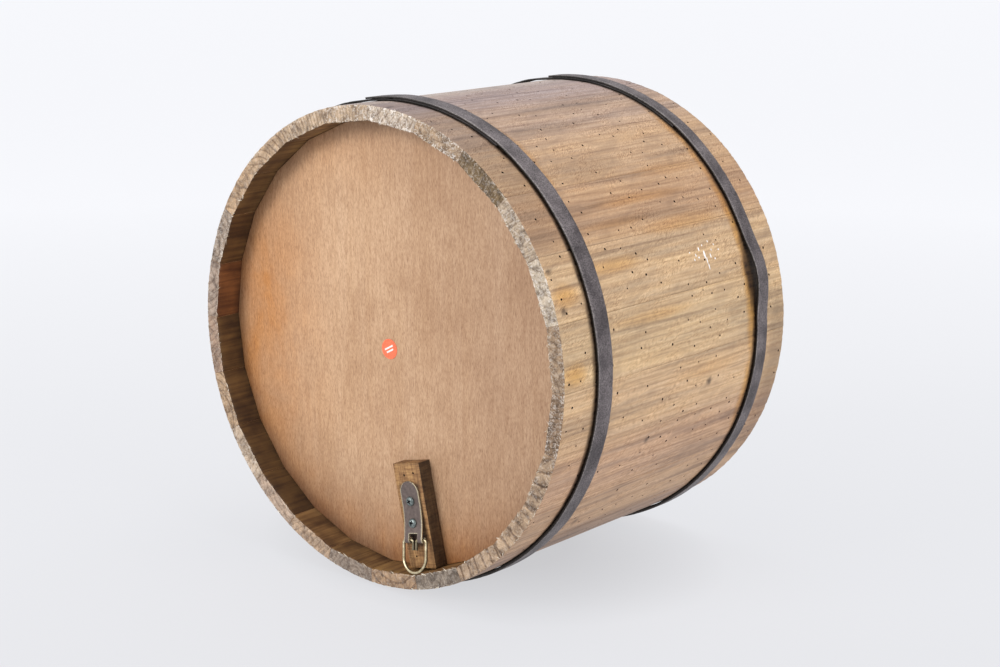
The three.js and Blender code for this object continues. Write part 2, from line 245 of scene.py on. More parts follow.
def growth_lines(tree, rings, pattern, wander):
    """One wave to each growth ring, from 0 in the late wood to 1, led astray by a pattern."""
    astray = add_node(tree, "Math", {0: pattern, 1: wander}, operation="MULTIPLY").outputs[0]
    turns = add_node(tree, "Math", {0: rings, 1: 2 * math.pi, 2: astray}, operation="MULTIPLY_ADD")
    wave = add_node(tree, "Math", {0: turns.outputs[0]}, operation="SINE").outputs[0]
    return add_node(tree, "MapRange", {"Value": wave, "From Min": -1.0}).outputs[0]


def tinted(tree, colour, layers):
    """Multiplies patterns into a colour, each by its share and through its own tints."""
    for pattern, share, stops in layers:
        tint = add_node(tree, "ValToRGB", {"Fac": pattern}, stops=stops).outputs[0]
        colour = add_node(tree, "Mix", {0: share, 6: colour, 7: tint}, data_type="RGBA",
                          blend_type="MULTIPLY").outputs[2]
    return colour


def surface(tree, shader, colour, rough, relief=None):
    """Colour; roughness, or a pattern and its two ends; and a relief's pattern, strength and depth."""
    tree.links.new(colour, shader.inputs["Base Color"])
    if isinstance(rough, tuple):
        pattern, low, high = rough
        ranged = add_node(tree, "MapRange", {"Value": pattern, "To Min": low, "To Max": high})
        tree.links.new(ranged.outputs[0], shader.inputs["Roughness"])
    else:
        shader.inputs["Roughness"].default_value = rough
    if relief:
        height, strength, depth = relief
        bump = add_node(tree, "Bump", {"Height": height, "Strength": strength, "Distance": depth})
        tree.links.new(bump.outputs[0], shader.inputs["Normal"])


def weathered_wood():
    """Old softwood, sawn, oiled and rubbed: faint growth lines, soft streaks, slanting fibres."""
    material, tree, shader = new_material("oiled_weathered_softwood")
    timber = in_the_board(tree)
    tone = add_node(tree, "Attribute", attribute_name="tone").outputs["Color"]
    rings, amber, grime_and_shade = [add_node(tree, "Attribute", attribute_name=mark).outputs["Fac"]
                           for mark in ("rings", "amber", "grime_and_shade")]
    streaks, lines, fibres, patches = [
        figure(tree, timber, (width, length, width), (0, 0, turn), detail, warp=warp)
        for width, length, turn, detail, warp in (
            (0.009, 0.170, 0.0, 4, 0.5),     # broad streaks
            (0.0017, 0.080, 0.0, 4, 0.3),    # grain lines
            (0.0004, 0.0034, 0.5, 3, 0.2),   # fibres that slant across the grain
            (0.012, 0.034, 0.25, 4, 0.8),    # patches
        )
    ]
    growth = growth_lines(tree, rings, streaks, 7.0)
    crossed = add_node(tree, "MapRange", {"Value": patches, "From Min": 0.42, "From Max": 0.6,
                                          "To Min": 0.25, "To Max": 0.85}).outputs[0]
    colour = tinted(tree, tone, (
        (streaks, 0.75, [(0.33, "#b9b1ae"), (0.66, "#fff6e6"), (0.48, "#f0e8e0")]),
        (lines, 0.65, [(0.36, "#c9bdb2"), (0.6, "#ffffff"), (0.48, "#efe8e0")]),
        (growth, 0.12, [(0.0, "#c4b2a2"), (0.4, "#ffffff")]),
        (fibres, crossed, [(0.38, "#a89888"), (0.58, "#ffffff")]),
        (patches, 0.7, [(0.36, "#cdc4bc"), (0.62, "#fff8ee"), (0.5, "#f2ece4")]),
    ))
    colour = add_node(tree, "HueSaturation", {"Value": 1.37, "Color": colour}).outputs[0]
    patchy = add_node(tree, "Math", {0: lines, 1: 0.5}, operation="ADD").outputs[0]
    # The dark mark is dirt in places, and painted shade along the hoops and under the kink of the front
    # hoop.
    for mark, tint in ((amber, "#f2cf72"), (grime_and_shade, "#3d2c20")):
        share = add_node(tree, "Math", {0: mark, 1: patchy}, operation="MULTIPLY", use_clamp=True)
        colour = add_node(tree, "Mix", {0: share.outputs[0], 6: colour, 7: linear(tint)},
                          data_type="RGBA", blend_type="MULTIPLY").outputs[2]
    relief = add_node(tree, "Math", {0: lines, 1: fibres}, operation="ADD").outputs[0]
    surface(tree, shader, colour, (lines, 0.68, 0.5), (relief, 0.07, 0.0002))
    return material


def end_grain():
    """The same wood sawn across: pale torn fibres over darker late-wood rings."""
    material, tree, shader = new_material("sawn_end_grain")
    tone = add_node(tree, "Attribute", attribute_name="sawn").outputs["Color"]
    torn, rings, ringed = [add_node(tree, "Attribute", attribute_name=mark).outputs["Fac"]
                           for mark in ("torn", "rings", "ringed")]
    flat = add_node(tree, "Mapping", {"Vector": in_the_board(tree), "Scale": (1, 0.02, 1)}).outputs[0]
    pores, soaked, fuzz = [
        add_node(tree, "TexNoise", {"Vector": flat, "Scale": 1 / grain_size, "Detail": detail,
                                    "Roughness": 0.65, "Distortion": warp}).outputs["Fac"]
        for grain_size, detail, warp in (
            (0.0006, 3, 0.3),   # torn pores
            (0.0065, 5, 0.8),   # uneven soaking of the oil
            (0.0022, 5, 1.4),   # chips and fuzz
        )
    ]
    growth = growth_lines(tree, rings, soaked, 3.0)
    colour = tinted(tree, tone, (
        (growth, ringed, [(0.0, "#75604c"), (0.22, "#ffffff"), (0.08, "#b8a693")]),
        (soaked, 0.9, [(0.36, "#958b84"), (0.62, "#fffaf4")]),
        (pores, 0.4, [(0.34, "#b5a594"), (0.58, "#ffffff")]),
    ))
    colour = add_node(tree, "HueSaturation", {"Value": 1.2, "Color": colour}).outputs[0]
    pale = add_node(tree, "MapRange", {"Value": fuzz, "From Min": 0.5, "From Max": 0.6}).outputs[0]
    pale = add_node(tree, "Math", {0: pale, 1: torn}, operation="MULTIPLY", use_clamp=True).outputs[0]
    colour = add_node(tree, "Mix", {0: pale, 6: colour, 7: linear("#efe6dc")}, data_type="RGBA").outputs[2]
    dark = add_node(tree, "MapRange", {"Value": fuzz, "From Min": 0.40, "From Max": 0.34,
                                       "To Max": 0.5}).outputs[0]
    colour = add_node(tree, "Mix", {0: dark, 6: colour, 7: linear("#6a563f")},
                      data_type="RGBA", blend_type="MULTIPLY").outputs[2]
    relief = add_node(tree, "Math", {0: growth, 1: fuzz}, operation="ADD").outputs[0]
    surface(tree, shader, colour, 0.85, (relief, 0.6, 0.0006))
    return material


def stained_wood():
    """Inner faces of the staves: walnut stain, wiped on, a little uneven."""
    material, tree, shader = new_material("walnut_stained_softwood")
    timber = in_the_board(tree)
    tone = add_node(tree, "Attribute", attribute_name="lining").outputs["Color"]
    lines = figure(tree, timber, (0.0025, 0.05, 0.0025), detail=4, roughness=0.5)
    wiped = add_node(tree, "TexNoise", {"Vector": timber, "Scale": 1 / 0.02, "Detail": 3}).outputs["Fac"]
    colour = tinted(tree, tone, (
        (wiped, 0.8, [(0.35, "#8f7a68"), (0.65, "#ffffff")]),
        (lines, 0.8, [(0.35, "#a08c78"), (0.65, "#ffffff")]),
    ))
    surface(tree, shader, colour, 0.6, (lines, 0.4, 0.0003))
    return material


def mottled(name, patch, stops, rough, metallic=0.0, detail=2, relief=None):
    """A plain finish in soft patches of two tones; a pair of roughnesses follows them too."""
    material, tree, shader = new_material(name)
    at = add_node(tree, "TexCoord").outputs["Object"]
    patches = add_node(tree, "TexNoise", {"Vector": at, "Scale": 1 / patch, "Detail": detail}).outputs["Fac"]
    tint = add_node(tree, "ValToRGB", {"Fac": patches}, stops=stops).outputs[0]
    shader.inputs["Metallic"].default_value = metallic
    surface(tree, shader, tint, (patches, *rough) if isinstance(rough, tuple) else rough,
            (patches, *relief) if relief else None)
    return material


def bored_wood():
    """Inside of a bored hole: soiling and old stain with painted shade, almost black."""
    return mottled("dirt_and_shade_in_bored_hole", 0.0006, [(0.35, "#150d08"), (0.7, "#33231a")], 0.95)


def bore(bm, spots, layer, radius, depth, seed, dark_index):
    """Sinks small eight-sided holes at vertices of an evenly divided surface."""
    rng = random.Random(seed)
    tree = kdtree.KDTree(len(bm.verts))
    bm.verts.ensure_lookup_table()
    for i, vert in enumerate(bm.verts):
        tree.insert(vert[layer], i)
    tree.balance()
    picked = [bm.verts[tree.find(spot)[1]] for spot in spots]
    discs = []
    for vert in picked:
        if not vert.is_valid or any(len(face.verts) != 4 for face in vert.link_faces):
            continue
        made = bmesh.ops.dissolve_faces(bm, faces=list(vert.link_faces), use_verts=True)["region"]
        discs += [face for face in made if len(face.verts) == 8]
    bmesh.ops.inset_individual(bm, faces=discs, thickness=radius * 0.4, depth=0)
    for disc in discs:
        centre = disc.calc_center_median()
        size = radius * rng.uniform(0.75, 1.15)
        for vert in disc.verts:
            vert.co = centre + (vert.co - centre).normalized() * size * rng.uniform(0.85, 1.15)
    bmesh.ops.inset_individual(bm, faces=discs, thickness=radius * 0.12, depth=-depth)
    dark = set(discs)
    for disc in discs:
        for edge in disc.edges:
            dark.update(edge.link_faces)
    for face in dark:
        face.material_index = dark_index


def stain(stains, angle, y):
    """How strongly a list of stains and painted shadows shows at a spot on the outside."""
    strongest = 0.0
    for middle, down, wide, long, strength in stains:
        away = ((angle - middle) / wide) ** 2 + ((y - down) / long) ** 2
        strongest = max(strongest, strength * max(0.0, 1 - away) ** 0.7)
    return strongest


def under_hoop(turn, y):
    """1 on the wood that a hoop covers, fading out beside it: painted shade along the hoops, with some
    soiling.
    """
    beside = min(abs(y - hoop["y"] - hoop["skew"] * math.cos(turn)) - hoop["width"] / 2
                 for hoop in hoops.values())
    return min(1.0, max(0.0, 1.25 - beside / shade_beside))


def ease(bm, edges, width, segments=2):
    """Rounds edges over, as sandpaper or wear does."""
    return bmesh.ops.bevel(bm, geom=edges, offset=width, segments=segments, profile=0.5,
                           affect="EDGES", material=-1)


def divide(bm, axis, cuts):
    """Divides the long edges that run along one axis, so that the piece can be bent."""
    along = [e for e in bm.edges if e.calc_length() > 0.001
             and abs(e.verts[1].co[axis] - e.verts[0].co[axis]) > 0.99 * e.calc_length()]
    bmesh.ops.subdivide_edges(bm, edges=along, cuts=cuts, use_grid_fill=True)


def widening(y):
    """How much wider the tub is at a distance from the rim than at the rim."""
    return 1 + (mouth_radius / rim_radius - 1) * y / tub_depth


def stave_mesh(index):
    """One stave: a bevelled board, finely divided, bent to the tub's round and tapered."""
    rng = random.Random(100 + index)
    width = rim_radius * stave_angle - joint_gap
    bm = bmesh.new()
    bmesh.ops.create_cube(bm, size=1)
    bmesh.ops.scale(bm, verts=bm.verts, vec=(width, tub_depth, wall))
    bmesh.ops.translate(bm, verts=bm.verts, vec=(0, tub_depth / 2, wall / 2))
    ease(bm, bm.edges, 0.0003)
    for axis, cuts in ((1, 130), (0, 22), (2, 6)):
        divide(bm, axis, cuts)
    layers = bm.verts.layers
    board, cut = [layers.float_vector.new(name) for name in ("board", "cut")]
    tone, sawn, lining = [layers.float_color.new(name) for name in ("tone", "sawn", "lining")]
    rings, amber, grime_and_shade, torn, ringed = [
        layers.float.new(name) for name in ("rings", "amber", "grime_and_shade", "torn", "ringed")]
    shift = Vector((rng.uniform(1, 9), rng.uniform(1, 9), rng.uniform(1, 9)))
    face_tone, end_tone, ring_spacing, pith_across, pith_up = boards[index]
    colours = [linear(end_tone), linear(lining_tones.get(index, usual_lining))]
    own_tone = Vector(linear(face_tone))
    next_tones = [Vector(linear(boards[(index + side) % staves][0])) for side in (-1, 1)]
    pith = Vector((pith_across, pith_up)) / 1000
    lean = Vector((rng.uniform(-0.06, 0.06), rng.uniform(-0.05, 0.05)))
    middle = first_joint + (index + 0.5) * stave_angle
    for vert in bm.verts:
        x, y, z = vert.co
        vert[board] = vert.co
        vert[cut] = shift
        vert[sawn], vert[lining] = colours
        blended = blend_rate * max(0.0, abs(x) / width - blend_from)
        vert[tone] = own_tone.lerp(next_tones[x > 0], blended)
        vert[rings] = (Vector((x, z)) - pith - lean * y).length * 1000 / ring_spacing
        edge_near = 1 - min(z, wall - z) / (wall / 2)
        vert[ringed] = clear_rings.get(index, usual_rings)
        vert[torn] = torn_ends.get(index, usual_tear) * (0.35 + 0.65 * edge_near)
        turn = middle + x / rim_radius
        angle = math.degrees(turn)
        angle -= 360 if angle > 180 else 0
        uneven = noise.noise(Vector((x * 90, y * 60, 0)) + shift) * stain_wander
        vert[amber] = stain(amber_stains, angle, y + uneven)
        vert[grime_and_shade] = max(stain(grime_and_shade_spots, angle, y + uneven), 0.9 * under_hoop(turn, y + uneven * 0.4))
    for face in bm.faces:
        normal = face.normal
        if abs(normal.y) > 0.8:
            face.material_index = 1
        elif normal.z < -0.5:
            face.material_index = 2
    spots = []
    while len(spots) < holes_per_stave:
        spot = Vector((rng.uniform(-0.46, 0.46) * width, rng.uniform(0.01, 0.99) * tub_depth, wall))
        if all((spot - other).length > hole_spacing for other in spots):
            spots.append(spot)
    bore(bm, spots, board, hole_radius, hole_depth, index, 3)
    half_angle = stave_angle / 2
    apothem = (rim_radius - wall) * math.cos(half_angle)
    for vert in bm.verts:
        x, y, z = vert.co
        turn = x / rim_radius
        inner = apothem / math.cos(turn)
        radius = inner + (rim_radius - inner) * z / wall
        outside = max(0.0, z / wall) ** 4
        inside = max(0.0, 1 - z / wall) ** 4
        near_end = max(0.0, 1 - min(y, tub_depth - y) / chip_reach)
        fine = noise.noise(Vector((x * 260, y * 14, 0)) + shift) * saw_ripple
        broad = noise.noise(Vector((x * 40, y * 9, 0)) + shift) * board_wave
        chip = abs(noise.noise(Vector((x * 420, 0, 7)) + shift)) * chip_depth
        radius += outside * (fine + broad - chip * near_end * 0.6) + inside * chip * near_end
        ragged = noise.noise(Vector((x * 600, 3, z * 600)) + shift) * ragged_depth
        y += ragged * max(0.0, 1 - min(y, tub_depth - y) / ragged_reach)
        radius *= widening(y)
        vert.co = (radius * math.cos(middle + turn), y, radius * math.sin(middle + turn))
    bmesh.ops.reverse_faces(bm, faces=bm.faces)
    return bm


stave_finishes = (weathered_wood(), end_grain(), stained_wood(), bored_wood())
for index in range(staves):
    name = f"stave_{index + 1:02d}"
    stave = shown(f"oiled_{name}", stave_mesh(index), *stave_finishes)
    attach(stave, "tub")
    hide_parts(name)

# ---- Splinters round the rim ---------------------------------------------------------------
# Pale torn fibres that the saw left standing along both edges of the hanger end.
splinters = 230
splinter_lengths = (0.0014, 0.0042)
splinter_width = 0.00032
splinter_tip = 0.00006
rng = random.Random(7)
bm = bmesh.new()
for _ in range(splinters):
    turn = rng.uniform(0, 2 * math.pi)
    inside_edge = rng.random() < 0.62
    within = (turn - first_joint) % stave_angle - stave_angle / 2
    inner = (rim_radius - wall) * math.cos(stave_angle / 2) / math.cos(within)
    length = rng.uniform(*splinter_lengths)
    root = splinter_width * rng.uniform(0.6, 1.3)
    made = bmesh.ops.create_cone(bm, cap_ends=True, segments=4, radius1=root, radius2=splinter_tip,
                                 depth=length)
    if inside_edge:
        radius = inner + rng.uniform(-0.0002, 0.0008)
    else:
        radius = rim_radius - rng.uniform(0.0002, 0.0009)
    swing = rng.choice((-1, 1)) * rng.uniform(0.7, 1.45)
    tilt = rng.uniform(-0.15, 0.4)
    facing = -math.pi / 2 if inside_edge else math.pi / 2
    lay = (Matrix.Rotation(-turn, 4, "Y") @ Matrix.Translation((radius, -0.0001, 0))
           @ Matrix.Rotation(facing + swing, 4, "Y") @ Matrix.Rotation(tilt, 4, "X")
           @ Matrix.Diagonal((1, 0.5, 1, 1)))
    bmesh.ops.transform(bm, matrix=lay, verts=made["verts"])
# Bare fibre that the oil never reached, dull, bleached to cream in places.
fibre = mottled("torn_softwood_fibre", 0.004, [(0.35, "#a89478"), (0.6, "#e8ddcb")], 0.85)
rim_splinters = shown("rim_splinters", bm, fibre)
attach(rim_splinters, "tub")

# ---- Paint flecks --------------------------------------------------------------------------
# A splash of white wall paint on the side: thin, hard, slightly raised drops and runs.
fleck_rows = [  # angle, distance from the rim, and how wide and how tall
    (22.9, 0.1612, 1.4, 2.9), (21.4, 0.1662, 2.0, 6.0), (19.9, 0.1674, 1.2, 4.7),
    (18.4, 0.168, 1.1, 4.4), (20.8, 0.1728, 1.1, 3.4), (22.1, 0.1752, 1.0, 1.8),
    (23.6, 0.1662, 1.0, 1.6), (24.2, 0.1738, 1.1, 1.7), (21.8, 0.1836, 1.6, 1.2),
    (19.9, 0.1771, 1.5, 1.4), (21.7, 0.1561, 1.2, 2.3), (20.7, 0.1535, 1.0, 1.8),
    (22.6, 0.15, 1.0, 1.3), (23.2, 0.1796, 0.9, 1.6), (21.0, 0.159, 1.8, 1.3),
]
fleck_rise = 0.00022
fleck_unit = 0.0005  # half of a width or height of 1 in the rows
rng = random.Random(3)
bm = bmesh.new()
for angle, down, wide, tall in fleck_rows:
    made = bmesh.ops.create_uvsphere(bm, u_segments=12, v_segments=6, radius=fleck_unit)
    radius = rim_radius * widening(down)
    lay = (Matrix.Rotation(-math.radians(angle), 4, "Y") @ Matrix.Translation((radius, down, 0))
           @ Matrix.Rotation(rng.uniform(-0.2, 0.2), 4, "X")
           @ Matrix.Diagonal((fleck_rise / fleck_unit, wide, tall, 1)))
    bmesh.ops.transform(bm, matrix=lay, verts=made["verts"])
# Matt emulsion with a slight skin: white, a little greyer where it is thin.
wall_paint = mottled("white_wall_paint", 0.002, [(0.3, "#e4e1dd"), (0.6, "#fbfbfa")], 0.5)
paint_flecks = shown("paint_flecks", bm, wall_paint)
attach(paint_flecks, "tub")

# ---- Hoops ---------------------------------------------------------------------------------
# Two hoops of flat mild steel bar, sheared to length, rolled and lapped at the top, blackened
# and waxed. They are loose on the wood, a little wavy and dented, and worn bright at one edge.
strap_thickness = 0.0014
lap_angle = 40
ramp_angle = 8
hoop_standoff = 0.0013
lap_standoff = 0.00025
lap_gap = 0.00015
# At the foot the strap is thickened in towards the wood, so that its near-black underside closes the gap
# there as painted shade.
foot_packing = 0.0009  # dirt pressed in under the strap where the tub stands on it
kink_angle = 14
kink_spread = 11
flat_half_angle = math.radians(3.75)
strap_wave = 0.00035
strap_edge_wave = 0.00022
dent_depth = 0.0009


def hoop_steel(name, tones, wear):
    """Blackened mild steel: grey-violet scale with fine pits, a waxed sheen, and paler where worn."""
    material, tree, shader = new_material(name)
    at = add_node(tree, "TexCoord").outputs["Object"]
    speckle = add_node(tree, "TexNoise", {"Vector": at, "Scale": 1 / 0.0008, "Detail": 3,
                                          "Roughness": 0.7}).outputs["Fac"]
    clouds = add_node(tree, "TexNoise", {"Vector": at, "Scale": 1 / 0.016, "Detail": 3}).outputs["Fac"]
    worn = add_node(tree, "Attribute", attribute_name="worn").outputs["Fac"]
    base = add_node(tree, "ValToRGB", {"Fac": clouds}, stops=[(0.35, tones[0]), (0.65, tones[1])])
    pits = [(0.4, "#625e5c"), (0.62, "#ffffff"), (0.5, "#b3afb0")]
    colour = tinted(tree, base.outputs[0], [(speckle, 0.8, pits)])
    patchy = add_node(tree, "MapRange", {"Value": speckle, "From Min": 0.35, "From Max": 0.6})
    share = add_node(tree, "Math", {0: worn, 1: patchy.outputs[0]}, operation="MULTIPLY").outputs[0]
    share = add_node(tree, "Math", {0: share, 1: wear}, operation="MULTIPLY").outputs[0]
    colour = add_node(tree, "Mix", {0: share, 6: colour, 7: linear("#c9c2bd")}, data_type="RGBA").outputs[2]
    shader.inputs["Metallic"].default_value = 0.35
    surface(tree, shader, colour, (speckle, 0.62, 0.4), (speckle, 0.5, 0.0003))
    return material


def smooth_step(value, low, high):
    """0 below low, 1 above high, and an even S between them."""
    share = min(1.0, max(0.0, (value - low) / (high - low)))
    return share * share * (3 - 2 * share)


def standoff(angle, hoop):
    """Height of the strap's inner face over the wood, counted on from its inner end."""
    along = angle - (hoop["end"] - lap_angle)
    outer_layer = lap_standoff + strap_thickness + lap_gap
    lift = smooth_step(along, lap_angle, lap_angle + ramp_angle)
    climb = smooth_step(along, 360 - ramp_angle, 360)
    rest = lap_standoff + (hoop_standoff - lap_standoff) * lift
    from_kink = min(1.0, abs(angle - kink_angle - 360) / kink_spread)
    kink = hoop["kink"] * (1 + math.cos(math.pi * from_kink)) / 2
    return rest + (outer_layer - rest) * climb + kink


def hoop_mesh(hoop, seed):
    """A straight bar with eased edges, divided along its length and rolled round the wood."""
    rng = random.Random(seed)
    shift = Vector((rng.uniform(1, 9), rng.uniform(1, 9), 0))
    bm = bmesh.new()
    bmesh.ops.create_cube(bm, size=1)
    bmesh.ops.scale(bm, verts=bm.verts, vec=(1, hoop["width"], strap_thickness))
    bmesh.ops.translate(bm, verts=bm.verts, vec=(0.5, 0, strap_thickness / 2))
    ease(bm, [e for e in bm.edges if abs(e.verts[1].co.x - e.verts[0].co.x) > 0.5], 0.0003)
    divide(bm, 0, 419)
    across = [e for e in bm.edges if abs(e.verts[1].co.y - e.verts[0].co.y) > hoop["width"] / 2]
    bmesh.ops.subdivide_edges(bm, edges=across, cuts=7, use_grid_fill=True)
    worn = bm.verts.layers.float.new("worn")
    half = hoop["width"] / 2
    # The strap's sides, ends and underside take the near-black copy of the steel: painted shade.
    for face in bm.faces:
        if abs(face.normal.y) > 0.8 or abs(face.normal.x) > 0.8 or face.normal.z < -0.5:
            face.material_index = 1
    for vert in bm.verts:
        x, across, rise = vert.co
        top = rise / strap_thickness
        vert[worn] = smooth_step(-across, half - 0.0010, half - 0.0003) * smooth_step(top, 0.55, 0.95)
        angle = hoop["end"] - lap_angle + x * (360 + lap_angle)
        if angle < hoop["end"] + ramp_angle:
            vert[worn] = 0.0
        turn = math.radians(angle)
        y = hoop["y"] + hoop["skew"] * math.cos(turn) + across
        wave = noise.noise(Vector((angle * 0.16, 0, 1)) + shift) * strap_wave
        edge_wave = noise.noise(Vector((angle * 0.5, 4, 1)) + shift) * strap_edge_wave
        dent = max(0.0, noise.noise(Vector((angle * 0.9, across * 260, 2)) + shift) - 0.35) * dent_depth
        radius = rim_radius * widening(y) + standoff(angle, hoop) + rise
        from_foot = (turn - 1.5 * math.pi + math.pi) % (2 * math.pi) - math.pi
        steady = 1 - smooth_step(abs(from_foot), 0.1, 0.3)
        radius += wave * (1 - steady) * 0.4 - dent * top * (1 - steady)
        radius -= foot_packing * (1 - top) * (1 - smooth_step(abs(from_foot), 0.7, 1.3))
        if abs(from_foot) < flat_half_angle:
            radius *= math.cos(flat_half_angle) / math.cos(from_foot)
        y += wave + edge_wave * abs(across) / half
        vert.co = (radius * math.cos(turn), y, radius * math.sin(turn))
    bmesh.ops.recalc_face_normals(bm, faces=bm.faces)
    return bm


hoop_face = hoop_steel("blackened_mild_steel", ("#5e5658", "#8a8182"), 0.3)
# A near-black copy of the same steel for the strap's sides, ends and underside: painted shade.
strap_shade = hoop_steel("painted_shade_strap_faces", ("#1c1815", "#2c2521"), 0.15)
for seed, (name, hoop) in enumerate(hoops.items()):
    strap = shown(f"rolled_{name}", hoop_mesh(hoop, seed), hoop_face, strap_shade)
    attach(strap, "tub")
    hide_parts(name)

# ---- Tacks and brads -----------------------------------------------------------------------
# Cut wire pins: four through the hoops' laps, three sunk in the block. Drawn steel gone dark.
pin_steel = mottled("dark_drawn_wire", 0.0007, [(0.35, "#1d1a18"), (0.65, "#4b4541")], 0.55,
                    metallic=0.7, detail=3, relief=(0.4, 0.0001))
for name, pin in frame["nodes"].items():
    if name.startswith(("hoop_tack", "block_brad")):
        pin.material_slots[0].material = pin_steel

# ---- End panel -----------------------------------------------------------------------------
# A five millimetre plywood panel cut to the twenty-four inner faces and let in flush between
# them, set back from the rim. Open-pored face veneer, oiled; the oil has pooled at the left
# and along the lower edge.
panel_recess = 0.0208
panel_thickness = 0.0052
panel_gap = 0.0003


def plywood():
    """Oiled okoume plywood: short dark pores running up and down, faint ribbon stripes."""
    material, tree, shader = new_material("oiled_okoume_plywood")
    at = add_node(tree, "TexCoord").outputs["Object"]
    oil, edge, right_side_shade = [add_node(tree, "Attribute", attribute_name=mark).outputs["Fac"]
                        for mark in ("oil", "edge_dirt_and_shade", "right_side_shade")]
    pores, bundles, ribbons, pools = [
        figure(tree, at, (width, width, length), (0, turn, 0), detail, warp=warp)
        for width, length, turn, detail, warp in (
            (0.0004, 0.0028, 0.05, 3, 0.1),   # pores
            (0.0018, 0.014, 0.0, 3, 0.3),     # fibre bundles
            (0.022, 0.30, 0.0, 2, 0.6),       # ribbon stripes
            (0.045, 0.06, 0.0, 3, 0.4),       # uneven oil
        )
    ]
    base = add_node(tree, "ValToRGB", {"Fac": ribbons}, stops=[(0.35, "#c6a27f"), (0.65, "#ccaa89")])
    colour = tinted(tree, base.outputs[0], (
        (pores, 0.7, [(0.33, "#b8a694"), (0.56, "#ffffff"), (0.45, "#e6dcd2")]),
        (bundles, 0.4, [(0.36, "#d2c2b4"), (0.6, "#ffffff")]),
        (pools, 0.45, [(0.38, "#e2d8cf"), (0.62, "#ffffff")]),
    ))
    colour = add_node(tree, "HueSaturation", {"Value": 1.17, "Color": colour}).outputs[0]
    patchy = add_node(tree, "MapRange", {"Value": pools, "From Min": 0.35, "From Max": 0.65, "To Min": 0.35})
    pooled = add_node(tree, "Math", {0: oil, 1: patchy.outputs[0]}, operation="MULTIPLY").outputs[0]
    # Of the three marks multiplied in, the pooled oil is a real stain; the second darkens the edges and
    # towards the lower left, dirt with painted shade from the rim; the third greys the right side as painted
    # shade.
    for share, tint in ((pooled, "#eebf74"), (right_side_shade, "#e5e2e2"), (edge, "#5c3c22")):
        colour = add_node(tree, "Mix", {0: share, 6: colour, 7: linear(tint)},
                          data_type="RGBA", blend_type="MULTIPLY").outputs[2]
    relief = add_node(tree, "Math", {0: pores, 1: bundles}, operation="ADD").outputs[0]
    surface(tree, shader, colour, 0.58, (relief, 0.35, 0.0003))
    return material


def sharp_edges(bm):
    """Edges where two faces meet at nearly a right angle."""
    return [e for e in bm.edges if e.calc_face_angle(0) > 1.2]


def thicken(bm, across):
    """Extrudes a flat sheet into a plate."""
    grown = bmesh.ops.extrude_face_region(bm, geom=bm.faces[:])["geom"]
    bmesh.ops.translate(bm, verts=[v for v in grown if isinstance(v, bmesh.types.BMVert)], vec=across)


def panel_mesh():
    """A fine grid trimmed by the twenty-four inner faces, given its thickness and its taper."""
    bm = bmesh.new()
    bmesh.ops.create_grid(bm, x_segments=84, y_segments=84, size=rim_radius)
    bmesh.ops.rotate(bm, verts=bm.verts, matrix=Matrix.Rotation(math.pi / 2, 3, "X"))
    apothem = (rim_radius - wall) * math.cos(stave_angle / 2) - panel_gap
    for index in range(staves):
        turn = first_joint + (index + 0.5) * stave_angle
        outward = Vector((math.cos(turn), 0, math.sin(turn)))
        bmesh.ops.bisect_plane(bm, geom=bm.verts[:] + bm.edges[:] + bm.faces[:], dist=1e-6,
                               plane_co=outward * apothem, plane_no=outward, clear_outer=True)
    oil, edge, right_side_shade = [bm.verts.layers.float.new(name) for name in ("oil", "edge_dirt_and_shade", "right_side_shade")]
    for vert in bm.verts:
        x, z = vert.co.x / apothem, vert.co.z / apothem
        turn = math.atan2(z, x)
        within = (turn - first_joint) % stave_angle - stave_angle / 2
        near_edge = math.hypot(x, z) * math.cos(within)
        left = smooth_step(-x, 0.25, 0.95) * (1 - smooth_step(abs(z - 0.05), 0.35, 1.0))
        low = smooth_step(-z, 0.45, 0.98) * smooth_step(near_edge, 0.6, 1.0)
        top = 0.35 * smooth_step(z, 0.55, 0.98) * smooth_step(-x, -0.5, 0.5)
        vert[oil] = min(1.0, 0.95 * left + 0.85 * low + top)
        # Painted shade: the right side is greyed.
        vert[right_side_shade] = smooth_step(x, -0.35, 0.75)
        # Dirt with painted shade: darker along the edge and towards the bottom, more on the left.
        shaded = 0.45 * smooth_step(near_edge, 0.9, 1.0) + 0.5 * smooth_step(-z - 0.3 * x, 0.45, 1.1)
        vert[edge] = shaded * (0.3 + 0.5 * smooth_step(-x, -0.4, 0.6))
    thicken(bm, (0, panel_thickness, 0))
    bmesh.ops.recalc_face_normals(bm, faces=bm.faces)
    ease(bm, sharp_edges(bm), 0.00025)
    for vert in bm.verts:
        vert.co.y += panel_recess
        vert.co.x *= widening(vert.co.y)
        vert.co.z *= widening(vert.co.y)
    return bm


panel = shown("plywood_end_panel", panel_mesh(), plywood())
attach(panel, "tub")
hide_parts("end_panel")

